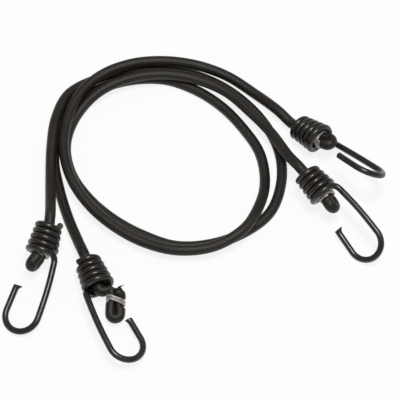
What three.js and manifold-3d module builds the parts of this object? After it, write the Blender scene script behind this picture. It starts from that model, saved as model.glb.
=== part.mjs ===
// A pair of elastic luggage cords with coiled wire hooks, lying in loose loops on a level surface.
// Millimetres and degrees, +Z up, with the surface that the cords lie on at Z = 0.
import * as THREE from "three";
import { mergeVertices } from "three/addons/utils/BufferGeometryUtils.js";
import Module from "manifold-3d";

// Cord: a braided sheath over a rubber core
const CORD_DIAMETER = 8;
const SHEATH_WALL = 1.1;
const FIT_GAP = 0.3;
const REST_FLAT = CORD_DIAMETER / 10;
const LEAD_LENGTH = 64;
const CORD_STEP = 17;
const CORD_SIDES = 10;
const CORE_SIDES = 8;

// Hook: one wire, wound into a cone and bent into a J
const WIRE_DIAMETER = 4.5;
const COIL_TURNS = 4.83;
const COIL_PITCH = 4.95;
const COIL_NARROW_RADIUS = 7.6;
const COIL_WIDE_RADIUS = 10.1;
const CUT_END_LENGTH = 3;
const CORD_SAG = 0.9;
const SHANK_BEND_RADIUS = 6.3;
const SHANK_LENGTH = 41.2;
const SHANK_LEAN = 1.2;
const HOOK_BEND_RADIUS = 12.9;
const HOOK_BEND_SWEEP = 186.7;
const TIP_LENGTH = 17.6;
const WIRE_STEP = 4.6;
const WIRE_SIDES = 7;

// Fold: the cord's end doubled back on itself and squeezed in a wire clamp
const PINCHED_WIDTH = 4.4;
const PINCHED_HEIGHT = 7.6;
const LOOP_WIDTH = 7;
const LOOP_HEIGHT = 8;
const FOLD_LEG_GAP = 0.5;
const FOLD_SPREAD = 2.2;
const FOLD_LOOP_STEPS = 6;
const FOLD_STEP = 1.5;
const CLAMP_WIRE = 1.8;
const CLAMP_WRAPS = 2.1;
const CLAMP_PITCH = 2.4;
const CLAMP_START = 0.02;
const CLAMP_STEPS = 34;
const CLAMP_SIDES = 5;
const CLAMP_CORNER = 4.4;
const CLAMP_GAP = 0.5;

// How each end lies: the coil's mouth on the plan, the coil axis as azimuth and pitch, the roll of
// the J about that axis, and the fold's own azimuth, pitch and turn. Slack is how far the clamp lies
// from its seat in the mouth: along the axis, level and up. Loop and tail run on from the clamp,
// approach is the straight stretch before it, guide is where the cord turns towards that stretch,
// tilt is how far the clamp is askew, and entry is how far aside the cord goes into the coil.
const ENDS = {
  a1: {
    mouth: [-112.84, -17.25], azimuth: -103.33, pitch: -11.21, roll: 167.18,
    fold: {
      azimuth: -125, pitch: -9, turn: 90, slack: [0, 0, 0],
      loop: 9.2, tail: 3.8, approach: 4.3, guide: [-16, 0, 0], tilt: 0, entry: 0.8,
    },
  },
  b1: {
    mouth: [-70.18, -44.07], azimuth: -66.89, pitch: -2.19, roll: 21.43,
    fold: {
      azimuth: -91.3, pitch: -14, turn: 0, slack: [13.47, -7.62, -2.6],
      loop: 9.2, tail: 9, approach: 8.6, guide: [1.5, -2.6, -0.6], tilt: -18, entry: 0,
    },
  },
  b2: {
    mouth: [93.74, 80.26], azimuth: -43.6, pitch: 13.94, roll: 224.97,
    fold: {
      azimuth: -31, pitch: 14, turn: 30, slack: [1.2, -0.5, -0.2],
      loop: 6, tail: 3.7, approach: 5.4, guide: [-16, 0, 0], tilt: 0, entry: 0,
    },
  },
  a2: {
    mouth: [94.72, 30.94], azimuth: -50.76, pitch: -6.28, roll: 134.15,
    fold: {
      azimuth: -61.7, pitch: -5, turn: 70, slack: [2.4, 0, 0],
      loop: 7.6, tail: 4.6, approach: 5.4, guide: [-16, 0, 0], tilt: 0, entry: 0,
    },
  },
};

// Routes of the two cords between their coils: x, y and the lift above a cord that lies on the surface
const ROUTES = {
  a: {
    ends: ["a1", "a2"],
    points: [
      [-108, 25.3, 13.5], [-109.5, 49.3, 8.5], [-110, 75.3, 9], [-108, 101.3, 8.5],
      [-99.5, 125.8, 5.5],
      [-80.5, 142.3, 0.6], [-55.5, 150.8, 0], [-29.5, 152.8, 0], [-4, 148.3, 0], [19.5, 136.8, 0],
      [39.5, 119.3, 0], [54.5, 98.3, 0], [63.5, 73.8, 0], [63.5, 47.8, 0], [54.5, 23.3, 0],
      [34.5, 6.3, 0], [10.5, -3.2, 0], [-15.5, -4.7, 0], [-40, 4.3, 0], [-62, 17.8, 0],
      [-81, 35.8, 0], [-95, 57.8, 0], [-100, 83.3, 0.2], [-93, 108.8, 1], [-76, 127.3, 6.5],
      [-52.5, 138.8, 8.5], [-26.5, 142.3, 9], [-1, 138.3, 8], [22.5, 127.3, 7], [41, 108.8, 7],
      [57, 87.8, 9], [69, 65.8, 12.5],
    ],
  },
  b: {
    ends: ["b1", "b2"],
    points: [
      [-87, -3.7, 5], [-96, 19.8, 0.6], [-103.5, 44.3, 0], [-108.5, 69.8, 0], [-107, 95.8, 0],
      [-96.5, 118.8, 0], [-76, 134.3, 0], [-51.5, 142.8, 0], [-25.5, 143.3, 0], [-1.5, 133.8, 0],
      [19, 118.3, 0], [35.5, 98.3, 0], [48, 75.8, 0], [51.5, 50.3, 0.8], [46.5, 25.8, 6.5],
      [34.5, 3.8, 10], [12.5, -8.7, 7], [-13.5, -11.7, 6.5], [-38, -4.7, 5.5], [-60.5, 8.3, 6],
      [-79.5, 25.8, 7], [-93.5, 47.3, 8.5], [-100.5, 72.3, 9], [-99.5, 98.3, 8.5], [-91.5, 122.3, 9],
      [-74.5, 141.8, 8.5], [-51, 152.3, 9], [-25.5, 154.8, 9], [0.5, 151.3, 8], [24, 144.8, 2.5],
      [45, 129.8, 0.6], [62, 111.8, 5],
    ],
  },
};

// Sizes that follow from those above
const CORD_RADIUS = CORD_DIAMETER / 2;
const WIRE_RADIUS = WIRE_DIAMETER / 2;
const CLAMP_RADIUS = CLAMP_WIRE / 2;
const BORE_RADIUS = CORD_RADIUS - SHEATH_WALL;
const CORE_RADIUS = BORE_RADIUS * Math.cos(Math.PI / CORD_SIDES) - FIT_GAP;
const RESTING_HEIGHT = CORD_RADIUS - REST_FLAT;
const COIL_LENGTH = COIL_TURNS * COIL_PITCH;
const COIL_ENTRY = COIL_LENGTH + WIRE_RADIUS + FIT_GAP;
const COIL_TAPER = (COIL_WIDE_RADIUS - COIL_NARROW_RADIUS) / COIL_LENGTH;
const CLAMP_HALF_LENGTH = FOLD_LEG_GAP / 2 + PINCHED_WIDTH + CLAMP_GAP + CLAMP_RADIUS;
const CLAMP_HALF_HEIGHT = PINCHED_HEIGHT / 2 + CLAMP_GAP + CLAMP_RADIUS;
const CLAMP_FLAT_LENGTH = CLAMP_HALF_LENGTH - CLAMP_CORNER;
const CLAMP_FLAT_HEIGHT = CLAMP_HALF_HEIGHT - CLAMP_CORNER;
const CLAMP_REACH = Math.hypot(CLAMP_FLAT_LENGTH, CLAMP_FLAT_HEIGHT) + CLAMP_CORNER + CLAMP_RADIUS;
const CLAMP_HALF_DEPTH = (CLAMP_WRAPS * CLAMP_PITCH) / 2;
const PINCH_REACH = CLAMP_HALF_DEPTH + CLAMP_RADIUS;
const MOUTH_ROOM = COIL_WIDE_RADIUS - WIRE_RADIUS - CLAMP_REACH - FIT_GAP;
const CLAMP_SEAT = PINCH_REACH - MOUTH_ROOM / COIL_TAPER;

const UP = new THREE.Vector3(0, 0, 1);
const radians = THREE.MathUtils.degToRad;
const wasm = await Module();
wasm.setup();

const sheathFinish = { color: 0x2a2623, roughness: 0.85, metalness: 0 };
const coreFinish = { color: 0xb79f7c, roughness: 0.7, metalness: 0 };
const hookFinish = { color: 0x1c1917, roughness: 0.32, metalness: 0.5 };
const clampFinish = { color: 0xb8b8b4, roughness: 0.35, metalness: 1 };

function node(name, geometry, finish) {
  const mesh = new THREE.Mesh(geometry, new THREE.MeshStandardMaterial(finish));
  mesh.name = name;
  return mesh;
}

// A direction with the level and rising directions square to it
function aim(azimuth, pitch) {
  const along = new THREE.Vector3(
    Math.cos(radians(pitch)) * Math.cos(radians(azimuth)),
    Math.cos(radians(pitch)) * Math.sin(radians(azimuth)),
    Math.sin(radians(pitch)),
  );
  const level = new THREE.Vector3().crossVectors(along, UP).normalize();
  const rise = new THREE.Vector3().crossVectors(level, along);
  return { along, level, rise };
}

function turned({ level, rise }, angle) {
  const side = level.clone().multiplyScalar(Math.cos(radians(angle)));
  return side.addScaledVector(rise, Math.sin(radians(angle)));
}

function ring(radius, sides) {
  const corners = [];
  for (let i = 0; i < sides; i++) {
    const angle = (2 * Math.PI * i) / sides;
    corners.push(new THREE.Vector2(radius * Math.cos(angle), radius * Math.sin(angle)));
  }
  return corners;
}

// A tube along a curve, hollow where it has a bore
function tube(curve, steps, radius, sides, bore = 0) {
  const section = new THREE.Shape(ring(radius, sides));
  if (bore > 0) {
    section.holes.push(new THREE.Path(ring(bore, sides)));
  }
  return new THREE.ExtrudeGeometry(section, { steps, extrudePath: curve, bevelEnabled: false });
}

function smoothCurve(points) {
  const curve = new THREE.CatmullRomCurve3(points, false, "centripetal");
  curve.arcLengthDivisions = 20 * points.length;
  return curve;
}

// The part of a curve between two lengths along it
class Stretch extends THREE.Curve {
  constructor(whole, from, to) {
    super();
    this.whole = whole;
    this.from = from / whole.getLength();
    this.to = to / whole.getLength();
  }

  getPoint(share, target) {
    return this.whole.getPointAt(THREE.MathUtils.lerp(this.from, this.to, share), target);
  }
}

function solid(geometry) {
  const bare = geometry.clone();
  bare.deleteAttribute("normal");
  bare.deleteAttribute("uv");
  const merged = mergeVertices(bare, 1e-4);
  return new wasm.Manifold(new wasm.Mesh({
    numProp: 3,
    vertProperties: new Float32Array(merged.attributes.position.array),
    triVerts: new Uint32Array(merged.index.array),
  }));
}

function surface(body) {
  const mesh = body.getMesh();
  const geometry = new THREE.BufferGeometry();
  geometry.setAttribute("position", new THREE.Float32BufferAttribute(mesh.vertProperties, 3));
  geometry.setIndex(Array.from(mesh.triVerts));
  geometry.computeVertexNormals();
  return geometry;
}

// The sheath is pressed flat where the cord lies on the surface
function pressedFlat(geometry) {
  geometry.computeBoundingBox();
  const size = geometry.boundingBox.getSize(new THREE.Vector3());
  const middle = geometry.boundingBox.getCenter(new THREE.Vector3());
  const block = new THREE.BoxGeometry(2 * size.x, 2 * size.y, CORD_DIAMETER);
  block.translate(middle.x, middle.y, -CORD_DIAMETER / 2);
  return surface(solid(geometry).subtract(solid(block)));
}

// Hook wire about the coil's mouth: X to the shank, Z out along the coil axis
function hookWire() {
  const points = [];
  const leaving = Math.atan2(SHANK_BEND_RADIUS, COIL_WIDE_RADIUS);
  const onTurn = (share) => {
    const angle = leaving + (1 - share) * COIL_TURNS * 2 * Math.PI;
    const radius = THREE.MathUtils.lerp(COIL_NARROW_RADIUS, COIL_WIDE_RADIUS, share);
    const height = -COIL_LENGTH * (1 - share);
    return new THREE.Vector3(radius * Math.cos(angle), radius * Math.sin(angle), height);
  };
  const pointsPerTurn = 36;
  const coilPoints = Math.round(COIL_TURNS * pointsPerTurn);
  const first = onTurn(0);
  const springOut = first.clone().sub(onTurn(1 / coilPoints)).normalize();
  points.push(first.clone().addScaledVector(springOut, CUT_END_LENGTH));
  for (let i = 0; i <= coilPoints; i++) {
    points.push(onTurn(i / coilPoints));
  }
  const tangent = new THREE.Vector3(Math.sin(leaving), -Math.cos(leaving), 0);
  const mouth = points.at(-1);
  for (let angle = 15; angle <= 90; angle += 15) {
    const bent = mouth.clone().addScaledVector(tangent, SHANK_BEND_RADIUS * Math.sin(radians(angle)));
    points.push(bent.addScaledVector(UP, SHANK_BEND_RADIUS * (1 - Math.cos(radians(angle)))));
  }
  const heading = (angle) => new THREE.Vector3(-Math.sin(radians(angle)), 0, Math.cos(radians(angle)));
  const shankTop = points.at(-1);
  for (const share of [0.25, 0.5, 0.75, 1]) {
    points.push(shankTop.clone().addScaledVector(heading(SHANK_LEAN), share * SHANK_LENGTH));
  }
  const inward = heading(SHANK_LEAN + 90);
  const bendCentre = points.at(-1).clone().addScaledVector(inward, HOOK_BEND_RADIUS);
  const bendSteps = 16;
  for (let i = 1; i <= bendSteps; i++) {
    const outward = heading(SHANK_LEAN - 90 + (HOOK_BEND_SWEEP * i) / bendSteps);
    points.push(bendCentre.clone().addScaledVector(outward, HOOK_BEND_RADIUS));
  }
  const back = heading(SHANK_LEAN + HOOK_BEND_SWEEP);
  const bendEnd = points.at(-1);
  for (const share of [0.35, 0.7, 1]) {
    points.push(bendEnd.clone().addScaledVector(back, share * TIP_LENGTH));
  }
  return points;
}

// Least gap between stretches of one round tube, or of two, that aren't next to each other along it
function leastGap(first, second, diameter, skip) {
  let least = Infinity;
  first.forEach((a, i) => second.forEach((b, j) => {
    if (first !== second || Math.abs(i - j) > skip) {
      least = Math.min(least, a.distanceTo(b) - diameter);
    }
  }));
  return least;
}

// The pose of an end: the hook rests on the surface by its lowest point
function poseOf(end) {
  const axis = aim(end.azimuth, end.pitch);
  const shankSide = turned(axis, end.roll);
  const across = new THREE.Vector3().crossVectors(axis.along, shankSide);
  const basis = new THREE.Matrix4().makeBasis(shankSide, across, axis.along);
  const heights = hookWire().map((point) => point.applyMatrix4(basis).z);
  const mouth = new THREE.Vector3(...end.mouth, WIRE_RADIUS - Math.min(...heights));
  return { ...axis, mouth, basis: basis.setPosition(mouth) };
}

function onAxis(pose, distance) {
  return pose.mouth.clone().addScaledVector(pose.along, distance);
}

// The cord lies a little below the axis, on the coil's narrow turns
function inCoil(pose, distance, level = 0, rise = 0) {
  const point = onAxis(pose, distance).addScaledVector(pose.level, level);
  return point.addScaledVector(pose.rise, rise - CORD_SAG);
}

// The fold's frame: the clamp's middle, the way the loop points and the side that the main leg is on
function foldFrame(pose, fold) {
  const [along, level, rise] = fold.slack;
  const clamp = onAxis(pose, CLAMP_SEAT + along);
  clamp.addScaledVector(pose.level, level).addScaledVector(pose.rise, rise);
  const axis = aim(fold.azimuth, fold.pitch);
  const side = turned(axis, fold.turn);
  return { clamp, out: axis.along, side, normal: new THREE.Vector3().crossVectors(axis.along, side) };
}

// The cord where it goes into the coil, and on its way there
function atEntry(pose, fold, before) {
  const run = (COIL_ENTRY + fold.guide[0]) / 2;
  return inCoil(pose, -COIL_ENTRY - before, fold.entry * (1 + before / run));
}

// How far a leg of the doubled cord has opened out again at a distance from the clamp's middle
function opened(fold, hand, reach) {
  const slope = Math.tan(radians(fold.tilt));
  const middle = (hand * slope * (PINCHED_WIDTH + FOLD_LEG_GAP)) / 2;
  const pinched = PINCH_REACH + FIT_GAP + Math.abs(slope) * PINCHED_WIDTH / 2;
  return THREE.MathUtils.smoothstep(Math.abs(reach - middle), pinched, pinched + FOLD_SPREAD);
}

// Rings of the folded end: round through the coil, pinched in the clamp, then round the loop to the tail
function foldRings(pose, fold) {
  const { clamp, out, side, normal } = foldFrame(pose, fold);
  const between = (pinched, open, hand, reach) => (
    THREE.MathUtils.lerp(pinched, open, opened(fold, hand, reach)) / 2
  );
  const widthAt = (hand, reach) => between(PINCHED_WIDTH, LOOP_WIDTH, hand, reach);
  const heightAt = (hand, reach) => between(PINCHED_HEIGHT, LOOP_HEIGHT, hand, reach);
  const offsetAt = (hand, reach) => widthAt(hand, reach) + FOLD_LEG_GAP / 2;
  const legAt = (sideways, reach) => (
    clamp.clone().addScaledVector(side, sideways).addScaledVector(out, reach)
  );
  const throughCoil = smoothCurve([
    atEntry(pose, fold, 0), inCoil(pose, (fold.guide[0] - COIL_ENTRY) / 2),
    inCoil(pose, ...fold.guide), legAt(offsetAt(1, -fold.approach), -fold.approach),
  ]);
  const rings = [];
  const steps = Math.ceil(throughCoil.getLength() / WIRE_STEP);
  for (let i = 0; i < steps; i++) {
    const share = THREE.MathUtils.smoothstep(i / steps, 0.3, 1);
    rings.push({
      centre: throughCoil.getPointAt(i / steps),
      width: THREE.MathUtils.lerp(CORD_RADIUS, widthAt(1, -fold.approach), share),
      height: THREE.MathUtils.lerp(CORD_RADIUS, heightAt(1, -fold.approach), share),
    });
  }
  const onLeg = (hand, reach) => rings.push({
    centre: legAt(hand * offsetAt(hand, reach), reach),
    width: widthAt(hand, reach),
    height: heightAt(hand, reach),
  });
  const legSteps = Math.round((fold.approach + fold.loop) / FOLD_STEP);
  for (let i = 0; i <= legSteps; i++) {
    onLeg(1, THREE.MathUtils.lerp(-fold.approach, fold.loop, i / legSteps));
  }
  for (let i = 1; i < FOLD_LOOP_STEPS; i++) {
    const angle = (Math.PI * i) / FOLD_LOOP_STEPS;
    const bend = offsetAt(1, fold.loop);
    rings.push({
      centre: legAt(bend * Math.cos(angle), fold.loop + bend * Math.sin(angle)),
      width: widthAt(1, fold.loop), height: heightAt(1, fold.loop),
    });
  }
  const tailSteps = Math.round((fold.loop + fold.tail) / FOLD_STEP);
  for (let i = 0; i <= tailSteps; i++) {
    onLeg(-1, THREE.MathUtils.lerp(fold.loop, -fold.tail, i / tailSteps));
  }
  rings.forEach((item, i) => {
    const before = rings[Math.max(i - 1, 0)].centre;
    const after = rings[Math.min(i + 1, rings.length - 1)].centre;
    item.along = after.clone().sub(before).normalize();
    item.across = new THREE.Vector3().crossVectors(normal, item.along).normalize();
    item.over = new THREE.Vector3().crossVectors(item.along, item.across);
  });
  return rings;
}

// A closed skin through rings of oval section, each inset from the cord's surface
function loftedTube(rings, sides, inset, bore) {
  const corners = [];
  const faces = [];
  const layers = bore > 0 ? [inset, bore] : [inset];
  for (const item of rings) {
    for (const depth of layers) {
      for (const { x, y } of ring(1, sides)) {
        const corner = item.centre.clone().addScaledVector(item.across, (item.width - depth) * x);
        corners.push(...corner.addScaledVector(item.over, (item.height - depth) * y).toArray());
      }
    }
  }
  const at = (i, layer, j) => (i * layers.length + layer) * sides + (j % sides);
  const quad = (a, b, c, d) => faces.push(a, b, c, a, c, d);
  const last = rings.length - 1;
  for (let j = 0; j < sides; j++) {
    for (let i = 0; i < last; i++) {
      quad(at(i, 0, j), at(i, 0, j + 1), at(i + 1, 0, j + 1), at(i + 1, 0, j));
      if (bore > 0) {
        quad(at(i, 1, j), at(i + 1, 1, j), at(i + 1, 1, j + 1), at(i, 1, j + 1));
      }
    }
    if (bore > 0) {
      quad(at(0, 0, j), at(0, 1, j), at(0, 1, j + 1), at(0, 0, j + 1));
      quad(at(last, 0, j), at(last, 0, j + 1), at(last, 1, j + 1), at(last, 1, j));
    } else if (j > 0 && j < sides - 1) {
      faces.push(at(0, 0, 0), at(0, 0, j + 1), at(0, 0, j));
      faces.push(at(last, 0, 0), at(last, 0, j), at(last, 0, j + 1));
    }
  }
  const geometry = new THREE.BufferGeometry();
  geometry.setAttribute("position", new THREE.Float32BufferAttribute(corners, 3));
  geometry.setIndex(faces);
  geometry.computeVertexNormals();
  return geometry;
}

// Round the doubled cord: an oblong with rounded corners
function roundTheFold(turn) {
  const x = Math.cos(2 * Math.PI * turn);
  const y = Math.sin(2 * Math.PI * turn);
  return [
    Math.sign(x) * CLAMP_FLAT_LENGTH + CLAMP_CORNER * x,
    Math.sign(y) * CLAMP_FLAT_HEIGHT + CLAMP_CORNER * y,
  ];
}

function clampWire(pose, fold) {
  const { clamp, out, side, normal } = foldFrame(pose, fold);
  const points = [];
  for (let i = 0; i <= CLAMP_STEPS; i++) {
    const wrap = (CLAMP_WRAPS * i) / CLAMP_STEPS;
    const [sideways, over] = roundTheFold(wrap + CLAMP_START);
    const point = clamp.clone().addScaledVector(side, sideways).addScaledVector(normal, -over);
    const askew = sideways * Math.tan(radians(fold.tilt));
    points.push(point.addScaledVector(out, wrap * CLAMP_PITCH - CLAMP_HALF_DEPTH + askew));
  }
  return points;
}

const bungees = new THREE.Group();
const poses = Object.fromEntries(Object.entries(ENDS).map(([name, end]) => [name, poseOf(end)]));

// Hook, fold, core and clamp of each end
const wire = smoothCurve(hookWire());
const wireSteps = Math.round(wire.getLength() / WIRE_STEP);
for (const [name, end] of Object.entries(ENDS)) {
  const pose = poses[name];
  const rings = foldRings(pose, end.fold);
  const clamp = smoothCurve(clampWire(pose, end.fold));
  const hook = node(`${name}_hook`, tube(wire, wireSteps, WIRE_RADIUS, WIRE_SIDES), hookFinish);
  hook.applyMatrix4(pose.basis);
  bungees.add(hook);
  bungees.add(node(`${name}_fold_sheath`, loftedTube(rings, CORD_SIDES, 0, SHEATH_WALL), sheathFinish));
  const coreSkin = loftedTube(rings, CORE_SIDES, CORD_RADIUS - CORE_RADIUS, 0);
  bungees.add(node(`${name}_fold_core`, coreSkin, coreFinish));
  bungees.add(node(`${name}_clamp`, tube(clamp, CLAMP_STEPS, CLAMP_RADIUS, CLAMP_SIDES), clampFinish));
}

// Leads and loops of each cord
const measured = {};
for (const [letter, route] of Object.entries(ROUTES)) {
  const [from, to] = route.ends.map((name) => (before) => atEntry(poses[name], ENDS[name].fold, before));
  const middle = route.points.map(([x, y, lift]) => new THREE.Vector3(x, y, RESTING_HEIGHT + lift));
  const cord = smoothCurve([
    from(FIT_GAP), from(CORD_RADIUS), ...middle, to(CORD_RADIUS), to(FIT_GAP),
  ]);
  const length = cord.getLength();
  const stretches = {
    [`${route.ends[0]}_lead`]: new Stretch(cord, 0, LEAD_LENGTH),
    [`${letter}_loops`]: new Stretch(cord, LEAD_LENGTH + FIT_GAP, length - LEAD_LENGTH - FIT_GAP),
    [`${route.ends[1]}_lead`]: new Stretch(cord, length - LEAD_LENGTH, length),
  };
  for (const [name, curve] of Object.entries(stretches)) {
    const steps = Math.ceil(curve.getLength() / CORD_STEP);
    const sheath = pressedFlat(tube(curve, steps, CORD_RADIUS, CORD_SIDES, BORE_RADIUS));
    bungees.add(node(`${name}_sheath`, sheath, sheathFinish));
    bungees.add(node(`${name}_core`, tube(curve, steps, CORE_RADIUS, CORE_SIDES), coreFinish));
  }
  measured[letter] = cord.getSpacedPoints(Math.round(length));
  console.log(`cord ${letter}: ${length.toFixed(1)} mm between its coils`);
}

const beside = 4 * CORD_DIAMETER;
const wirePoints = wire.getSpacedPoints(Math.round(wire.getLength()));
const clampPoints = smoothCurve(clampWire(poses.b1, ENDS.b1.fold)).getSpacedPoints(160);
const hookGap = leastGap(wirePoints, wirePoints, WIRE_DIAMETER, 20);
const clampGap = leastGap(clampPoints, clampPoints, CLAMP_WIRE, 30);
console.log(`least gap of the hook wire to itself ${hookGap.toFixed(2)}`);
console.log(`least gap of the clamp wire to itself ${clampGap.toFixed(2)}`);
for (const letter of ["a", "b"]) {
  const points = measured[letter];
  const cordGap = leastGap(points, points, CORD_DIAMETER, beside);
  console.log(`least gap of cord ${letter} to itself ${cordGap.toFixed(2)}`);
}
const cordsGap = leastGap(measured.a, measured.b, CORD_DIAMETER, 0);
console.log(`least gap between the cords ${cordsGap.toFixed(2)}`);

export default bungees;
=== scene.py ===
import math

import bpy
import numpy as np
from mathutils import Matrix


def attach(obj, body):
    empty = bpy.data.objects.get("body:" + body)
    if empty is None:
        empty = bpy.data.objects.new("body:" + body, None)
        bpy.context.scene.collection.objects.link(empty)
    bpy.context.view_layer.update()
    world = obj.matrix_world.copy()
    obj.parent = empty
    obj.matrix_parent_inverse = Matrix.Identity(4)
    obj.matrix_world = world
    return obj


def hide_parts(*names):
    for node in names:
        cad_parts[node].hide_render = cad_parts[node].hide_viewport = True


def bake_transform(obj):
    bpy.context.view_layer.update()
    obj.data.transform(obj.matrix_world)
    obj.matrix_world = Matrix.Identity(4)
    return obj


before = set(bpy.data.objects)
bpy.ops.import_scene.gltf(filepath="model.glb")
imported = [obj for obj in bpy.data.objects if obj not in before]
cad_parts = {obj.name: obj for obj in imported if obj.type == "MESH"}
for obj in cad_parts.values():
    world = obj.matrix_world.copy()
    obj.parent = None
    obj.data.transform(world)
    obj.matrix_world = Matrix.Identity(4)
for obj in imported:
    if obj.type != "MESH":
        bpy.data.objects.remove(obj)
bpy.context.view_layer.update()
scene = bpy.context.scene
scene.view_settings.view_transform = "Standard"

# Camera: a long lens looking steeply down on the loops, so that the far and the near hooks
# are almost the same size. It aims at the surface just below the loops' middle.
camera_settings = bpy.data.cameras.new("camera")
camera_settings.sensor_width = 36.0
camera_settings.lens = 143.6
camera = bpy.data.objects.new("camera", camera_settings)
camera.location = (0.0025, -0.5637, 1.03923)
camera.rotation_euler = (math.radians(30.0), 0.0, 0.0)
scene.collection.objects.link(camera)
scene.camera = camera

# Cord ends: where each cord goes into the coil of its hook, and how that hook lies. The mouth is
# the coil's wide end, azimuth and pitch give the coil's axis, and roll turns the hook about it.
# The cord lies a little below the axis, on the narrow turns, and goes in by aside off the axis.
UP = np.array([0.0, 0.0, 1.0])
CORD_ENDS = {
    "a1": {"mouth": (-0.11284, -0.01725, 0.01559), "azimuth": -103.33, "pitch": -11.21,
           "roll": 167.18, "aside": 0.0008},
    "a2": {"mouth": (0.09472, 0.03094, 0.01801), "azimuth": -50.76, "pitch": -6.28,
           "roll": 134.15, "aside": 0.0},
    "b1": {"mouth": (-0.07018, -0.04407, 0.01219), "azimuth": -66.89, "pitch": -2.19,
           "roll": 21.43, "aside": 0.0},
    "b2": {"mouth": (0.09374, 0.08026, 0.01533), "azimuth": -43.6, "pitch": 13.94,
           "roll": 224.97, "aside": 0.0},
}
COIL_ENTRY = 0.02646
CORD_SAG = 0.0009
ENTRY_RUN = 0.00523


def unit(vector):
    return vector / np.linalg.norm(vector)


def aim(azimuth, pitch):
    """A direction, with the level and the rising directions square to it."""
    a, p = math.radians(azimuth), math.radians(pitch)
    along = np.array([math.cos(p) * math.cos(a), math.cos(p) * math.sin(a), math.sin(p)])
    level = unit(np.cross(along, UP))
    return along, level, np.cross(level, along)


def turned(level, rise, angle):
    return level * math.cos(math.radians(angle)) + rise * math.sin(math.radians(angle))


for end in CORD_ENDS.values():
    end["along"], end["level"], end["rise"] = aim(end["azimuth"], end["pitch"])
    end["mouth"] = np.array(end["mouth"])


def in_coil(end, distance, level=0.0, rise=0.0):
    return (end["mouth"] + end["along"] * distance + end["level"] * level
            + end["rise"] * (rise - CORD_SAG))


def at_entry(end, before):
    return in_coil(end, -COIL_ENTRY - before, end["aside"] * (1.0 + before / ENTRY_RUN))


# Braided sheath: black polyester yarns plaited over the rubber in two directions, each yarn going
# over and under the others, so that the surface is covered in small rounded diamonds. Handling
# leaves it a little worn and dusty in patches. The colour also has painted shade in the valleys
# between the yarns, lightening to the yarn's own black on their crowns.
FILAMENTS = 12.0
FILAMENT_DEPTH = 0.06
CROWN_ROUNDING = 0.6
VALLEY_PAINTED_SHADE = (0.0042, 0.0031, 0.0019, 1.0)
YARN_CROWN = (0.0172, 0.0128, 0.0079, 1.0)
LINT_COLOUR = (0.055, 0.046, 0.036, 1.0)
LINT_STRENGTH = 0.3


def math_node(tree, operation, first, second=None):
    step = tree.nodes.new("ShaderNodeMath")
    step.operation = operation
    for socket, value in zip(step.inputs, (first, second)):
        if isinstance(value, (int, float)):
            socket.default_value = value
        elif value is not None:
            tree.links.new(value, socket)
    return step.outputs[0]


def new_group(name, inputs, outputs):
    group = bpy.data.node_groups.new(name, "ShaderNodeTree")
    for socket_name, kind, value in inputs:
        socket = group.interface.new_socket(socket_name, in_out="INPUT", socket_type=kind)
        if value is not None:
            socket.default_value = value
    for socket_name, kind in outputs:
        group.interface.new_socket(socket_name, in_out="OUTPUT", socket_type=kind)
    return group, group.nodes.new("NodeGroupInput"), group.nodes.new("NodeGroupOutput")


plait, plait_in, plait_out = new_group(
    "plaited yarns",
    [("UV", "NodeSocketVector", None), ("Bands", "NodeSocketFloat", 12.0),
     ("Diamonds per metre", "NodeSocketFloat", 370.0)],
    [("Height", "NodeSocketFloat"), ("Crown", "NodeSocketFloat"), ("Strand", "NodeSocketFloat")],
)
plait_split = plait.nodes.new("ShaderNodeSeparateXYZ")
plait.links.new(plait_in.outputs["UV"], plait_split.inputs[0])
round_cord = math_node(plait, "MULTIPLY", plait_split.outputs["Y"], plait_in.outputs["Bands"])
down_cord = math_node(plait, "MULTIPLY", plait_split.outputs["X"],
                      plait_in.outputs["Diamonds per metre"])
right_hand = math_node(plait, "ADD", round_cord, down_cord)
left_hand = math_node(plait, "SUBTRACT", round_cord, down_cord)
right_cell = math_node(plait, "FLOOR", right_hand)
left_cell = math_node(plait, "FLOOR", left_hand)
right_share = math_node(plait, "SUBTRACT", right_hand, right_cell)
left_share = math_node(plait, "SUBTRACT", left_hand, left_cell)
right_on_top = math_node(plait, "PINGPONG", math_node(plait, "ADD", right_cell, left_cell), 1.0)


def picked(right, left):
    left_on_top = math_node(plait, "SUBTRACT", 1.0, right_on_top)
    return math_node(plait, "ADD", math_node(plait, "MULTIPLY", right, right_on_top),
                     math_node(plait, "MULTIPLY", left, left_on_top))


yarn_across = picked(right_share, left_share)
yarn_along = picked(left_share, right_share)
yarn_round = math_node(plait, "SINE", math_node(plait, "MULTIPLY", yarn_across, math.pi))
yarn_arch = math_node(plait, "SINE", math_node(plait, "MULTIPLY", yarn_along, math.pi))
yarn_dome = math_node(plait, "MULTIPLY", yarn_round, yarn_arch)
yarn_crown = math_node(plait, "POWER", yarn_dome, CROWN_ROUNDING)
filament = math_node(plait, "SINE",
                     math_node(plait, "MULTIPLY", yarn_across, FILAMENTS * math.pi))
filament_height = math_node(plait, "MULTIPLY", filament, FILAMENT_DEPTH)
plait.links.new(math_node(plait, "ADD", yarn_crown, filament_height), plait_out.inputs["Height"])
plait.links.new(yarn_crown, plait_out.inputs["Crown"])
plait.links.new(math_node(plait, "MULTIPLY", math_node(plait, "ADD", filament, 1.0), 0.5),
                plait_out.inputs["Strand"])

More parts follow.
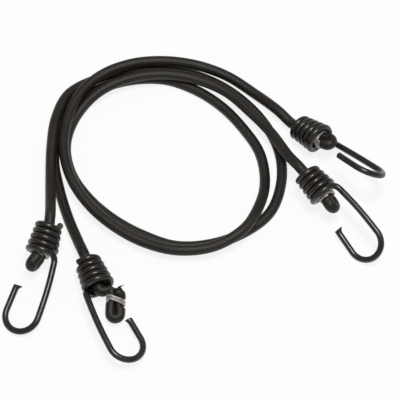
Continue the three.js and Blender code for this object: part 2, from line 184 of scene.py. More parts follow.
blotch, blotch_in, blotch_out = new_group(
    "handling blotches",
    [("Scale", "NodeSocketFloat", 60.0), ("Low", "NodeSocketFloat", 0.4),
     ("High", "NodeSocketFloat", 0.7)],
    [("Mask", "NodeSocketFloat"), ("Grain", "NodeSocketFloat")],
)
blotch_place = blotch.nodes.new("ShaderNodeTexCoord")
blotch_noise = blotch.nodes.new("ShaderNodeTexNoise")
blotch_noise.inputs["Detail"].default_value = 4.0
blotch_noise.inputs["Roughness"].default_value = 0.6
blotch.links.new(blotch_place.outputs["Object"], blotch_noise.inputs["Vector"])
blotch.links.new(blotch_in.outputs["Scale"], blotch_noise.inputs["Scale"])
blotch_range = blotch.nodes.new("ShaderNodeMapRange")
blotch_range.interpolation_type = "SMOOTHSTEP"
blotch.links.new(blotch_noise.outputs[0], blotch_range.inputs["Value"])
blotch.links.new(blotch_in.outputs["Low"], blotch_range.inputs["From Min"])
blotch.links.new(blotch_in.outputs["High"], blotch_range.inputs["From Max"])
blotch_grain = blotch.nodes.new("ShaderNodeTexNoise")
blotch_grain.inputs["Scale"].default_value = 2600.0
blotch_grain.inputs["Detail"].default_value = 2.0
blotch.links.new(blotch_place.outputs["Object"], blotch_grain.inputs["Vector"])
blotch.links.new(blotch_range.outputs[0], blotch_out.inputs["Mask"])
blotch.links.new(blotch_grain.outputs[0], blotch_out.inputs["Grain"])


def new_material(name):
    material = bpy.data.materials.new(name)
    material.use_nodes = True
    return material, material.node_tree, material.node_tree.nodes["Principled BSDF"]


def place_group(tree, group, **values):
    placed = tree.nodes.new("ShaderNodeGroup")
    placed.node_tree = group
    for name, value in values.items():
        placed.inputs[name].default_value = value
    return placed


def mixed_colour(tree, share, first, second):
    mix = tree.nodes.new("ShaderNodeMix")
    mix.data_type = "RGBA"
    factor, start, finish = mix.inputs[0], mix.inputs[6], mix.inputs[7]
    for socket, value in ((factor, share), (start, first), (finish, second)):
        if isinstance(value, (tuple, float)):
            socket.default_value = value
        else:
            tree.links.new(value, socket)
    return mix.outputs[2]


def roughened(tree, shader, mask, least, extra):
    added = math_node(tree, "MULTIPLY", mask, extra)
    tree.links.new(math_node(tree, "ADD", added, least), shader.inputs["Roughness"])


def bumped(tree, shader, height, distance, strength):
    bump = tree.nodes.new("ShaderNodeBump")
    bump.inputs["Strength"].default_value = strength
    bump.inputs["Distance"].default_value = distance
    tree.links.new(height, bump.inputs["Height"])
    tree.links.new(bump.outputs[0], shader.inputs["Normal"])


sheath_finish, sheath_tree, sheath_shader = new_material("braided black sheath")
sheath_uv = sheath_tree.nodes.new("ShaderNodeUVMap")
sheath_plait = place_group(sheath_tree, plait)
sheath_tree.links.new(sheath_uv.outputs[0], sheath_plait.inputs["UV"])
sheath_blotch = place_group(sheath_tree, blotch, Scale=45.0, Low=0.42, High=0.68)
# Painted shade: the base colour is darkest in the valleys between the yarns and lighter on the
# crowns.
yarn_painted_shading = mixed_colour(sheath_tree, sheath_plait.outputs["Crown"], VALLEY_PAINTED_SHADE, YARN_CROWN)
lint = math_node(sheath_tree, "MULTIPLY", sheath_blotch.outputs["Mask"],
                 math_node(sheath_tree, "MULTIPLY", sheath_blotch.outputs["Grain"],
                           LINT_STRENGTH))
# Real dusty lint laid over the yarn colour that carries the painted shade.
lint_and_painted_shade = mixed_colour(sheath_tree, lint, yarn_painted_shading, LINT_COLOUR)
sheath_tree.links.new(lint_and_painted_shade, sheath_shader.inputs["Base Color"])
roughened(sheath_tree, sheath_shader, sheath_plait.outputs["Strand"], least=0.39, extra=0.12)
sheath_shader.inputs["Specular IOR Level"].default_value = 0.36
bumped(sheath_tree, sheath_shader, sheath_plait.outputs["Height"], distance=0.00025,
       strength=0.45)

# Cord a and cord b, the loops: each cord lies in about one and a half loose loops, partly on the
# surface and partly over itself and the other cord. The points are x, y and the lift off the
# surface, and the cord is a braided sheath over rubber.
CORD_RADIUS = 0.004
RESTING_HEIGHT = 0.0032
LEAD_LENGTH = 0.064
CORD_STEP = 0.0020
CORD_SIDES = 24
CURVE_SAMPLES = 40
SURFACE_LIFT = 0.00005
CORD_ROUTES = {
    "a": ("a1", "a2", [
        (-0.1080, 0.0253, 0.0135), (-0.1095, 0.0493, 0.0085), (-0.1100, 0.0753, 0.0090),
        (-0.1080, 0.1013, 0.0085), (-0.0995, 0.1258, 0.0055), (-0.0805, 0.1423, 0.0006),
        (-0.0555, 0.1508, 0.0000), (-0.0295, 0.1528, 0.0000), (-0.0040, 0.1483, 0.0000),
        (0.0195, 0.1368, 0.0000), (0.0395, 0.1193, 0.0000), (0.0545, 0.0983, 0.0000),
        (0.0635, 0.0738, 0.0000), (0.0635, 0.0478, 0.0000), (0.0545, 0.0233, 0.0000),
        (0.0345, 0.0063, 0.0000), (0.0105, -0.0032, 0.0000), (-0.0155, -0.0047, 0.0000),
        (-0.0400, 0.0043, 0.0000), (-0.0620, 0.0178, 0.0000), (-0.0810, 0.0358, 0.0000),
        (-0.0950, 0.0578, 0.0000), (-0.1000, 0.0833, 0.0002), (-0.0930, 0.1088, 0.0010),
        (-0.0760, 0.1273, 0.0065), (-0.0525, 0.1388, 0.0085), (-0.0265, 0.1423, 0.0090),
        (-0.0010, 0.1383, 0.0080), (0.0225, 0.1273, 0.0070), (0.0410, 0.1088, 0.0070),
        (0.0570, 0.0878, 0.0090), (0.0690, 0.0658, 0.0125),
    ]),
    "b": ("b1", "b2", [
        (-0.0870, -0.0037, 0.0050), (-0.0960, 0.0198, 0.0006), (-0.1035, 0.0443, 0.0000),
        (-0.1085, 0.0698, 0.0000), (-0.1070, 0.0958, 0.0000), (-0.0965, 0.1188, 0.0000),
        (-0.0760, 0.1343, 0.0000), (-0.0515, 0.1428, 0.0000), (-0.0255, 0.1433, 0.0000),
        (-0.0015, 0.1338, 0.0000), (0.0190, 0.1183, 0.0000), (0.0355, 0.0983, 0.0000),
        (0.0480, 0.0758, 0.0000), (0.0515, 0.0503, 0.0008), (0.0465, 0.0258, 0.0065),
        (0.0345, 0.0038, 0.0100), (0.0125, -0.0087, 0.0070), (-0.0135, -0.0117, 0.0065),
        (-0.0380, -0.0047, 0.0055), (-0.0605, 0.0083, 0.0060), (-0.0795, 0.0258, 0.0070),
        (-0.0935, 0.0473, 0.0085), (-0.1005, 0.0723, 0.0090), (-0.0995, 0.0983, 0.0085),
        (-0.0915, 0.1223, 0.0090), (-0.0745, 0.1418, 0.0085), (-0.0510, 0.1523, 0.0090),
        (-0.0255, 0.1548, 0.0090), (0.0005, 0.1513, 0.0080), (0.0240, 0.1448, 0.0025),
        (0.0450, 0.1298, 0.0006), (0.0620, 0.1118, 0.0050),
    ]),
}


def run_of(line):
    """How far along the line each of its points is."""
    return np.concatenate([[0.0], np.cumsum(np.linalg.norm(np.diff(line, axis=0), axis=1))])


def smooth_line(points, step):
    """Points a step apart on the smooth curve through the given points."""
    points = np.array(points, float)
    before = 2 * points[0] - points[1]
    after = 2 * points[-1] - points[-2]
    padded = np.vstack([before, points, after])
    t = np.linspace(0.0, 1.0, CURVE_SAMPLES, endpoint=False)[:, None]
    samples = []
    for p0, p1, p2, p3 in zip(padded, padded[1:], padded[2:], padded[3:]):
        k0, k1, k2 = (math.sqrt(np.linalg.norm(b - a)) for a, b in ((p0, p1), (p1, p2), (p2, p3)))
        leave = ((p1 - p0) / k0 - (p2 - p0) / (k0 + k1) + (p2 - p1) / k1) * k1
        arrive = ((p2 - p1) / k1 - (p3 - p1) / (k1 + k2) + (p3 - p2) / k2) * k1
        samples.append(p1 + leave * t + (3 * (p2 - p1) - 2 * leave - arrive) * t ** 2
                       + (2 * (p1 - p2) + leave + arrive) * t ** 3)
    samples = np.vstack([*samples, points[-1:]])
    run = run_of(samples)
    even = np.linspace(0.0, run[-1], max(2, round(run[-1] / step) + 1))
    return np.stack([np.interp(even, run, samples[:, i]) for i in range(3)], axis=1)


def headings(line):
    ahead = np.vstack([line[1:], 2 * line[-1:] - line[-2:-1]])
    behind = np.vstack([2 * line[:1] - line[1:2], line[:-1]])
    along = ahead - behind
    return along / np.linalg.norm(along, axis=1)[:, None]


def carried_sides(line, first_side):
    """A sideways direction at each point, carried along the line without twist."""
    sides = []
    side = first_side
    for heading in headings(line):
        side = unit(side - heading * np.dot(side, heading))
        sides.append(side)
    return np.array(sides)


def tube(line, sides, half_width, half_height, count, run, caps=(False, False)):
    """Corners, faces and UV of a tube of oval section about a line.
    The UV is the length along the line and the share of the way round it."""
    over = np.cross(headings(line), sides)
    over /= np.linalg.norm(over, axis=1)[:, None]
    angles = np.linspace(0.0, 2.0 * math.pi, count, endpoint=False)
    half_width, half_height = (np.broadcast_to(h, len(line)) for h in (half_width, half_height))
    sideways = (half_width[:, None] * np.cos(angles))[:, :, None]
    upwards = (half_height[:, None] * np.sin(angles))[:, :, None]
    rings = line[:, None] + sides[:, None] * sideways + over[:, None] * upwards
    faces = []
    places = []
    for i in range(len(line) - 1):
        for j in range(count):
            k = (j + 1) % count
            faces.append((i * count + j, i * count + k, (i + 1) * count + k, (i + 1) * count + j))
            u0, u1, v0, v1 = run[i], run[i + 1], j / count, (j + 1) / count
            places += [(u0, v0), (u0, v1), (u1, v1), (u1, v0)]
    for wanted, ring, order in ((caps[0], 0, -1), (caps[1], len(line) - 1, 1)):
        if wanted:
            faces.append(tuple(ring * count + j for j in range(count))[::order])
            places += [(run[ring], 0.0)] * count
    return rings.reshape(-1, 3), faces, places


def piece(name, finish, *tubes):
    """One object made of tubes, with nothing below the surface that it lies on."""
    corners = []
    faces = []
    places = []
    for tube_corners, tube_faces, tube_places in tubes:
        first = len(corners)
        corners += [(x, y, max(z, SURFACE_LIFT)) for x, y, z in tube_corners.tolist()]
        faces += [tuple(first + corner for corner in face) for face in tube_faces]
        places += tube_places
    mesh = bpy.data.meshes.new(name)
    mesh.from_pydata(corners, [], faces)
    along = mesh.uv_layers.new(name="along")
    along.data.foreach_set("uv", np.array(places, np.float32).ravel())
    mesh.shade_smooth()
    mesh.materials.append(finish)
    made = bpy.data.objects.new(name, mesh)
    scene.collection.objects.link(made)
    return made


cord_lines = {}
for letter, (first, last, points) in CORD_ROUTES.items():
    start, stop = CORD_ENDS[first], CORD_ENDS[last]
    middle = [(x, y, RESTING_HEIGHT + lift) for x, y, lift in points]
    whole = smooth_line([at_entry(start, 0.0), at_entry(start, CORD_RADIUS), *middle,
                         at_entry(stop, CORD_RADIUS), at_entry(stop, 0.0)], CORD_STEP)
    run = run_of(whole)
    sides = carried_sides(whole, UP)
    first_join = int(np.searchsorted(run, LEAD_LENGTH))
    last_join = int(np.searchsorted(run, run[-1] - LEAD_LENGTH))
    cord_lines[letter] = (whole, run, sides, first_join, last_join)
    loops = slice(first_join, last_join + 1)
    loops_piece = piece(f"cord_{letter}_loops", sheath_finish,
                        tube(whole[loops], sides[loops], CORD_RADIUS, CORD_RADIUS, CORD_SIDES,
                             run[loops]))
    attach(loops_piece, "cords")
    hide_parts(f"{letter}_loops_sheath", f"{letter}_loops_core")

# Leads: the last stretch of each cord before its hook. It is the same braided cord, and on the
# real cord it is the stretch that gives when the hook is pulled.
for letter, (first, last, _) in CORD_ROUTES.items():
    whole, run, sides, first_join, last_join = cord_lines[letter]
    for name, lead in ((first, slice(0, first_join + 1)), (last, slice(last_join, len(whole)))):
        lead_piece = piece(f"cord_{name}_lead", sheath_finish,
                           tube(whole[lead], sides[lead], CORD_RADIUS, CORD_RADIUS, CORD_SIDES,
                                run[lead]))
        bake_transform(lead_piece)
        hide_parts(f"{name}_lead_sheath", f"{name}_lead_core")

# Folded ends: each cord runs through its coil, turns back in a tight loop and is pinched side by
# side with itself under the clamp. Three folds are seated in their coils, where the legs can't
# open fully. The hook at b1 has slid back, so its whole fold shows.
PINCHED_WIDTH, PINCHED_HEIGHT = 0.0053, 0.0081
LOOP_WIDTH, LOOP_HEIGHT = 0.0076, 0.0087
LEG_OVERLAP = 0.0007
PINCH_REACH = 0.0024
FOLD_SPREAD = 0.0012
FOLD_STEP = 0.0011
MAIN_LEG_RINGS, BEND_STEPS, TAIL_RINGS = 22, 18, 24
NARROWING_START = 0.3
SWELL_FULL, SWELL_END = 0.55, 0.72
LEAN_START, LEAN_RUN = 0.0030, 0.0040
TAIL_ROUNDING = 0.0032
TAIL_END_SHARE = 0.5
CLAMP_SEAT = -0.000561
# Azimuth and pitch aim the loop, and turn is the way the legs lie about it. Slack is how far the
# clamp lies from its seat: along the coil, level and up. Loop and tail run on from the clamp,
# approach is the straight stretch before it, and guide is where the cord turns towards that
# stretch. Tilt sets the clamp askew. Swell fattens the cord in the coil and room is how far the
# legs open there. Lean moves the tail aside and up and flares it. Wisp is for the long yarns.
SEATED = {"guide": (-0.016, 0.0, 0.0), "tilt": 0.0, "swell": 0.0, "room": 0.7,
          "lean": (0.0, 0.0, 0.0), "wisp": ()}
FOLDS = {
    "a1": {"azimuth": -125.0, "pitch": -9.0, "turn": 90.0, "slack": (0.0, 0.0, 0.0),
           "loop": 0.0092, "tail": 0.0038, "approach": 0.0043, **SEATED},
    "a2": {"azimuth": -61.7, "pitch": -5.0, "turn": 48.0, "slack": (0.0024, 0.0, 0.0),
           "loop": 0.0076, "tail": 0.0046, "approach": 0.0054, **SEATED},
    "b1": {"azimuth": -91.3, "pitch": -14.0, "turn": 0.0, "slack": (0.01347, -0.00762, -0.0026),
           "loop": 0.0092, "tail": 0.0076, "approach": 0.0086,
           "guide": (0.0015, -0.0009, -0.0006), "tilt": -18.0, "swell": 0.0011, "room": 1.0,
           "lean": (0.0015, 0.0025, 0.25), "wisp": (0.0002, 0.0009, 0.0016)},
    "b2": {"azimuth": -31.0, "pitch": 14.0, "turn": 8.0, "slack": (0.0002, -0.0004, 0.0),
           "loop": 0.0063, "tail": 0.0037, "approach": 0.0054, **SEATED},
}


def eased(share):
    share = np.clip(share, 0.0, 1.0)
    return share * share * (3.0 - 2.0 * share)


def half_sizes(fold, hand, reach):
    """Half width and half height of a leg at a distance from the clamp's middle."""
    from_clamp = np.abs(reach - hand * fold["slope"] * PINCHED_WIDTH)
    room = np.where(reach < 0.0, fold["room"], 1.0)
    open_share = eased((from_clamp - PINCH_REACH) / FOLD_SPREAD) * room
    return (0.5 * (PINCHED_WIDTH + (LOOP_WIDTH - PINCHED_WIDTH) * open_share),
            0.5 * (PINCHED_HEIGHT + (LOOP_HEIGHT - PINCHED_HEIGHT) * open_share))


def leg(fold, hand, reach):
    """Centres and half sizes along one leg, the main one (1) or the tail (-1)."""
    widths, heights = half_sizes(fold, hand, reach)
    offsets = hand * (widths - LEG_OVERLAP / 2)
    centres = fold["clamp"] + fold["side"] * offsets[:, None] + fold["out"] * reach[:, None]
    return centres, widths, heights


for name, fold in FOLDS.items():
    end = CORD_ENDS[name]
    out, level, rise = aim(fold["azimuth"], fold["pitch"])
    side = turned(level, rise, fold["turn"])
    slack_along, slack_level, slack_up = fold["slack"]
    clamp_centre = (end["mouth"] + end["along"] * (CLAMP_SEAT + slack_along)
                    + end["level"] * slack_level + end["rise"] * slack_up)
    fold.update(out=out, side=side, normal=np.cross(out, side), clamp=clamp_centre,
                slope=math.tan(math.radians(fold["tilt"])))
    loop, tail = fold["loop"], fold["tail"]

    main_line, main_widths, main_heights = leg(
        fold, 1.0, np.linspace(-fold["approach"], loop, MAIN_LEG_RINGS))
    halfway = (fold["guide"][0] - COIL_ENTRY) / 2
    entering = smooth_line([at_entry(end, 0.0), in_coil(end, halfway),
                            in_coil(end, *fold["guide"]), main_line[0]], FOLD_STEP)[:-1]
    share = np.linspace(0.0, 1.0, len(entering))
    narrowing = eased((share - NARROWING_START) / (1.0 - NARROWING_START))
    filling = eased(share / SWELL_FULL) * (1.0 - eased((share - SWELL_END) / (1.0 - SWELL_END)))
    in_coil_radius = CORD_RADIUS + fold["swell"] * filling

    bend_width, bend_height = half_sizes(fold, 1.0, loop)
    bend_radius = bend_width - LEG_OVERLAP / 2
    loop_angles = np.linspace(0.0, math.pi, BEND_STEPS + 1)[1:-1]
    bend_line = (clamp_centre + side * (bend_radius * np.cos(loop_angles))[:, None]
                 + out * (loop + bend_radius * np.sin(loop_angles))[:, None])

    tail_reach = np.linspace(loop, -tail, TAIL_RINGS)
    tail_line, tail_widths, tail_heights = leg(fold, -1.0, tail_reach)
    lean_side, lean_up, flare = fold["lean"]
    leaning = eased((-tail_reach - LEAN_START) / LEAN_RUN)
    rounding = np.clip(1.0 - (tail_reach + tail) / TAIL_ROUNDING, 0.0, 1.0)
    domed = np.sqrt(1.0 - (1.0 - TAIL_END_SHARE ** 2) * rounding ** 2)
    tail_line = tail_line + (side * lean_side + UP * lean_up) * leaning[:, None]
    tail_widths = tail_widths * (1.0 + flare * leaning) * domed
    tail_heights = tail_heights * domed

    line = np.vstack([entering, main_line, bend_line, tail_line])
    widths = np.concatenate([in_coil_radius + (main_widths[0] - CORD_RADIUS) * narrowing,
                             main_widths, np.full(len(bend_line), bend_width), tail_widths])
    heights = np.concatenate([in_coil_radius + (main_heights[0] - CORD_RADIUS) * narrowing,
                              main_heights, np.full(len(bend_line), bend_height), tail_heights])
    across = np.cross(fold["normal"], headings(line))
    across /= np.linalg.norm(across, axis=1)[:, None]
    across[len(entering):len(entering) + len(main_line)] = side
    across[-len(tail_line):] = -side
    fold_piece = piece(f"cord_{name}_fold", sheath_finish,
                       tube(line, across, widths, heights, CORD_SIDES, run_of(line),
                            (False, True)))
    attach(fold_piece, f"{name}_end")
    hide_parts(f"{name}_fold_sheath", f"{name}_fold_core")
    fold.update(tail_end=line[-1], tail_half=(widths[-1], heights[-1]))

# Frayed yarns: where the cord was cut, the loose ends of the plaited yarns stand out of the tail.
# At b1 a few of them are twisted into one long wisp.
FRAY_COUNT = 16
FRAY_JITTER = 0.1
FRAY_RING = 0.88
FRAY_SUNK = 0.0012
FRAY_REACH = (0.0015, 0.0022)
FRAY_SPLAY = 0.20
FRAY_BOW = 0.0004
FRAY_TAPER = (0.00055, 0.00032)
FRAY_SIDES = 6
WISP_LEAN = unit(np.array([0.70, 0.62, 0.30]))
WISP_SUNK = 0.0010
WISP_LENGTH = 0.0058
WISP_STAGGER = 0.6
WISP_BOW = 0.0010
WISP_TAPER = (0.00060, 0.00020)
WISP_SIDES = 7
YARN_STEP = 0.0004


def yarn_end(root, tip, bow, side, taper, count):
    line = smooth_line([root, 0.5 * (root + tip) + bow, tip], YARN_STEP)
    radii = np.linspace(*taper, len(line))
    return tube(line, carried_sides(line, side), radii, radii, count, run_of(line), (True, True))


fray = np.random.default_rng(4)
for name, fold in FOLDS.items():
    back, side, normal = -fold["out"], fold["side"], fold["normal"]
    tail_end, (tail_width, tail_height) = fold["tail_end"], fold["tail_half"]
    yarns = []
    for i in range(FRAY_COUNT):
        angle = 2.0 * math.pi * i / FRAY_COUNT + fray.uniform(-FRAY_JITTER, FRAY_JITTER)
        outward = side * math.cos(angle) + normal * math.sin(angle)
        root = (tail_end + side * (FRAY_RING * tail_width * math.cos(angle))
                + normal * (FRAY_RING * tail_height * math.sin(angle)) - back * FRAY_SUNK)
        reach = fray.uniform(*FRAY_REACH)
        splay = fray.uniform(-FRAY_SPLAY, FRAY_SPLAY)
        bow = fray.uniform(-FRAY_BOW, FRAY_BOW)
        tip_point = root + back * reach + outward * reach * splay
        yarns.append(yarn_end(root, tip_point, outward * bow, outward, FRAY_TAPER, FRAY_SIDES))
    for shift in fold["wisp"]:
        root = tail_end + side * shift - back * WISP_SUNK
        tip_point = root + WISP_LEAN * (WISP_LENGTH - WISP_STAGGER * shift)
        yarns.append(yarn_end(root, tip_point, back * WISP_BOW, normal, WISP_TAPER, WISP_SIDES))
    fray_piece = piece(f"frayed_yarns_{name}", sheath_finish, *yarns)
    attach(fray_piece, f"{name}_end")

# Hooks: each is one steel wire, wound into a cone of almost five turns that the bound end can't
# pull through, then bent up into a shank and a J. It is painted black, and its two ends are
# sheared off, which leaves a bare grey face and a burr.
WIRE_RADIUS = 0.00233
WIRE_SIDES = 16
COIL_TURNS = 4.83
COIL_LENGTH = 0.0227
COIL_NARROW = 0.0076
COIL_WIDE = 0.0101
RINGS_PER_TURN = 40
CUT_END = 0.0030
CUT_END_SHARES = (1.0, 0.93, 0.8, 0.6, 0.4, 0.2)
CUT_EDGE = 0.93
SHANK_BEND = 0.0063
SHANK_BEND_ANGLES = np.linspace(7.5, 90.0, 12)
SHANK_LENGTH = 0.0412
SHANK_STEPS = 21
SHANK_LEAN = 1.2
SHANK_BOW = 0.0008
HOOK_BEND = 0.0129
HOOK_SWEEP = 186.7
HOOK_BEND_STEPS = 40
TIP_LENGTH = 0.0176
TIP_SHARES = (0.1, 0.25, 0.4, 0.55, 0.7, 0.82, 0.88, 0.92, 0.96, 1.0)
BURR_RINGS = (0.08, 0.35, 0.75, 1.05)
# Trimmed is how many rings the short end at the coil lacks, longer is what the tip has more than
# TIP_LENGTH, and burr is the share of the full burr.
HOOK_SHEARS = {
    "a1": {"trimmed": 0, "longer": 0.0013, "burr": 1.0},
    "a2": {"trimmed": 11, "longer": 0.0020, "burr": 1.0},
    "b1": {"trimmed": 0, "longer": -0.0012, "burr": 0.5},
    "b2": {"trimmed": 0, "longer": 0.0008, "burr": 0.5},
}
PAINT_DARK = (0.0110, 0.0082, 0.0058, 1.0)
PAINT_PALE = (0.0175, 0.0134, 0.0097, 1.0)
BARE_DARK = (0.030, 0.027, 0.024, 1.0)
BARE_PALE = (0.085, 0.078, 0.070, 1.0)
hook_finish, hook_tree, hook_shader = new_material("black painted wire")
hook_blotch = place_group(hook_tree, blotch, Scale=90.0, Low=0.4, High=0.7)
paint_colour = mixed_colour(hook_tree, hook_blotch.outputs["Mask"], PAINT_DARK, PAINT_PALE)
hook_tree.links.new(paint_colour, hook_shader.inputs["Base Color"])
roughened(hook_tree, hook_shader, hook_blotch.outputs["Mask"], least=0.26, extra=0.10)
hook_shader.inputs["Specular IOR Level"].default_value = 0.60
bumped(hook_tree, hook_shader, hook_blotch.outputs["Grain"], distance=0.00002, strength=0.5)
cut_finish, cut_tree, cut_shader = new_material("sheared wire end")
cut_blotch = place_group(cut_tree, blotch, Scale=700.0, Low=0.35, High=0.65)
bare_colour = mixed_colour(cut_tree, cut_blotch.outputs["Mask"], BARE_DARK, BARE_PALE)
cut_tree.links.new(bare_colour, cut_shader.inputs["Base Color"])
cut_shader.inputs["Metallic"].default_value = 0.7
cut_shader.inputs["Roughness"].default_value = 0.60
bumped(cut_tree, cut_shader, cut_blotch.outputs["Grain"], distance=0.00005, strength=0.8)


def wire_heading(angle):
    return np.array([-math.sin(math.radians(angle)), 0.0, math.cos(math.radians(angle))])


# The wire about the coil's mouth: X to the shank, Z out along the coil's axis
leaving = math.atan2(SHANK_BEND, COIL_WIDE)
coil_shares = np.linspace(0.0, 1.0, round(COIL_TURNS * RINGS_PER_TURN) + 1)
coil_angles = leaving + (1.0 - coil_shares) * COIL_TURNS * 2.0 * math.pi
coil_radii = COIL_NARROW + (COIL_WIDE - COIL_NARROW) * coil_shares
coil = np.stack([coil_radii * np.cos(coil_angles), coil_radii * np.sin(coil_angles),
                 -COIL_LENGTH * (1.0 - coil_shares)], axis=1)
cut_end = coil[0] + unit(coil[0] - coil[1]) * np.array(CUT_END_SHARES)[:, None] * CUT_END
tangent = np.array([math.sin(leaving), -math.cos(leaving), 0.0])
bend_angles = np.radians(SHANK_BEND_ANGLES)[:, None]
shank_bend = (coil[-1] + tangent * SHANK_BEND * np.sin(bend_angles)
              + UP * SHANK_BEND * (1.0 - np.cos(bend_angles)))
shank_shares = np.linspace(0.0, 1.0, SHANK_STEPS + 1)[1:, None]
shank = shank_bend[-1] + wire_heading(SHANK_LEAN) * shank_shares * SHANK_LENGTH
shank += wire_heading(SHANK_LEAN - 90.0) * SHANK_BOW * np.sin(math.pi * shank_shares)
bend_centre = shank[-1] + wire_heading(SHANK_LEAN + 90.0) * HOOK_BEND
hook_bend = np.array([bend_centre + wire_heading(SHANK_LEAN - 90.0 + turn) * HOOK_BEND
                      for turn in np.linspace(0.0, HOOK_SWEEP, HOOK_BEND_STEPS + 1)[1:]])
tip_shares = np.array(TIP_SHARES)[:, None]
burr_shares = np.repeat(BURR_RINGS, WIRE_SIDES)
for name, end in CORD_ENDS.items():
    shear = HOOK_SHEARS[name]
    tip = hook_bend[-1] + (wire_heading(SHANK_LEAN + HOOK_SWEEP) * tip_shares
                           * (TIP_LENGTH + shear["longer"]))
    wound = np.vstack([cut_end, coil])[shear["trimmed"]:]
    hook_line = np.vstack([wound, shank_bend, shank, hook_bend, tip])
    thickness = np.full(len(hook_line), WIRE_RADIUS)
    thickness[0] *= CUT_EDGE
    hook_corners, hook_faces, hook_places = tube(
        hook_line, carried_sides(hook_line, UP), thickness, thickness, WIRE_SIDES,
        run_of(hook_line), (True, True))
    tip_corners = hook_corners[-len(burr_shares):]
    towards_shank = np.maximum(tip_corners[:, 0] - hook_line[-1, 0], 0.0)
    tip_corners[:, 0] += shear["burr"] * burr_shares * towards_shank
    shank_side = turned(end["level"], end["rise"], end["roll"])
    basis = np.stack([shank_side, np.cross(end["along"], shank_side), end["along"]], axis=1)
    hook_piece = piece(f"hook_{name}", hook_finish,
                       (end["mouth"] + hook_corners @ basis.T, hook_faces, hook_places))
    hook_piece.data.materials.append(cut_finish)
    for cut_face in hook_piece.data.polygons[-2:]:
        cut_face.material_index = 1
        cut_face.use_smooth = False
    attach(hook_piece, f"{name}_hook")
    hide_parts(f"{name}_hook")

# Clamps: about two wraps of zinc-plated wire, closed hard round the doubled cord. A seated clamp
# sits in the coil's wide mouth and stops the cord from pulling out.
CLAMP_RADIUS = 0.00106
CLAMP_SIDES = 12
CLAMP_WRAPS = 2.1
CLAMP_PITCH = 0.0020
CLAMP_START = 0.02
CLAMP_RINGS = 170
CLAMP_CORNER = 0.0044
CLAMP_FLAT_LENGTH = 0.00165
CLAMP_FLAT_HEIGHT = 0.0008
ZINC_PALE = (0.50, 0.48, 0.46, 1.0)
ZINC_DULL = (0.39, 0.375, 0.36, 1.0)
clamp_finish, clamp_tree, clamp_shader = new_material("zinc-plated wire")
clamp_blotch = place_group(clamp_tree, blotch, Scale=300.0, Low=0.35, High=0.7)
zinc_colour = mixed_colour(clamp_tree, clamp_blotch.outputs["Mask"], ZINC_PALE, ZINC_DULL)
clamp_tree.links.new(zinc_colour, clamp_shader.inputs["Base Color"])
clamp_shader.inputs["Metallic"].default_value = 1.0
roughened(clamp_tree, clamp_shader, clamp_blotch.outputs["Mask"], least=0.55, extra=0.15)
bumped(clamp_tree, clamp_shader, clamp_blotch.outputs["Grain"], distance=0.00002, strength=0.5)
wraps = np.linspace(0.0, CLAMP_WRAPS, CLAMP_RINGS)
wrap_angles = 2.0 * math.pi * (wraps + CLAMP_START)
wrap_cos, wrap_sin = np.cos(wrap_angles), np.sin(wrap_angles)
wrap_side = np.sign(wrap_cos) * CLAMP_FLAT_LENGTH + CLAMP_CORNER * wrap_cos
wrap_over = np.sign(wrap_sin) * CLAMP_FLAT_HEIGHT + CLAMP_CORNER * wrap_sin
for name, fold in FOLDS.items():
    along = (wraps - CLAMP_WRAPS / 2.0) * CLAMP_PITCH + wrap_side * fold["slope"]
    line = (fold["clamp"] + fold["side"] * wrap_side[:, None]
            - fold["normal"] * wrap_over[:, None] + fold["out"] * along[:, None])
    clamp_piece = piece(f"clamp_{name}", clamp_finish,
                        tube(line, carried_sides(line, fold["out"]), CLAMP_RADIUS, CLAMP_RADIUS,
                             CLAMP_SIDES, run_of(line), (True, True)))
    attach(clamp_piece, f"{name}_end")
    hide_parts(f"{name}_clamp")

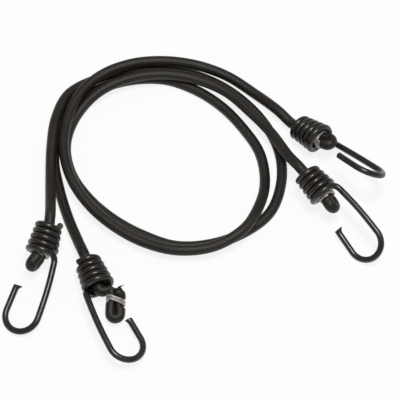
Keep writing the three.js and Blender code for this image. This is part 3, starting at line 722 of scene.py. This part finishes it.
# Floor and light: a plain white studio surface, a soft round lamp high above that puts a glint on
# each turn of wire, and an even white fill that keeps the shadows faint.
FLOOR_HALF = 4.0
FLOOR_DROP = 0.0002
FLOOR_SEEN_WHITE = 0.85
WHITE = (1.0, 1.0, 1.0, 1.0)
floor_finish, floor_tree, floor_shader = new_material("white studio floor")
floor_shader.inputs["Base Color"].default_value = (0.94, 0.94, 0.94, 1.0)
floor_shader.inputs["Roughness"].default_value = 0.9
floor_shader.inputs["Specular IOR Level"].default_value = 0.1
floor_white = floor_tree.nodes.new("ShaderNodeEmission")
floor_white.inputs["Color"].default_value = WHITE
floor_white.inputs["Strength"].default_value = 1.0
floor_ray = floor_tree.nodes.new("ShaderNodeLightPath")
floor_seen = math_node(floor_tree, "MAXIMUM", floor_ray.outputs["Is Camera Ray"],
                       floor_ray.outputs["Is Glossy Ray"])
floor_seen = math_node(floor_tree, "MAXIMUM", floor_seen,
                       floor_ray.outputs["Is Transmission Ray"])
floor_mix = floor_tree.nodes.new("ShaderNodeMixShader")
floor_tree.links.new(math_node(floor_tree, "MULTIPLY", floor_seen, FLOOR_SEEN_WHITE),
                     floor_mix.inputs[0])
floor_tree.links.new(floor_shader.outputs[0], floor_mix.inputs[1])
floor_tree.links.new(floor_white.outputs[0], floor_mix.inputs[2])
floor_tree.links.new(floor_mix.outputs[0], floor_tree.nodes["Material Output"].inputs["Surface"])
floor_mesh = bpy.data.meshes.new("floor")
floor_corners = [(x * FLOOR_HALF, y * FLOOR_HALF, 0.0)
                 for x, y in ((-1, -1), (1, -1), (1, 1), (-1, 1))]
floor_mesh.from_pydata(floor_corners, [], [(0, 1, 2, 3)])
floor_mesh.materials.append(floor_finish)
floor = bpy.data.objects.new("floor", floor_mesh)
floor.location.z = -FLOOR_DROP
scene.collection.objects.link(floor)


def soft_lamp(name, place, target, size, power):
    lamp = bpy.data.lights.new(name, "AREA")
    lamp.shape = "DISK"
    lamp.size = size
    lamp.energy = power
    made = bpy.data.objects.new(name, lamp)
    made.location = place
    towards = np.array(target) - np.array(place)
    made.rotation_euler = (math.atan2(math.hypot(towards[0], towards[1]), -towards[2]), 0.0,
                           math.atan2(towards[1], towards[0]) - math.pi / 2.0)
    scene.collection.objects.link(made)


soft_lamp("top_lamp", place=(0.15, -0.05, 1.50), target=(0.0, 0.0, 0.0), size=0.50, power=15.0)
world = bpy.data.worlds.new("studio")
world.use_nodes = True
scene.world = world
world_light = world.node_tree.nodes["Background"]
world_light.inputs["Color"].default_value = WHITE
world_light.inputs["Strength"].default_value = 0.34
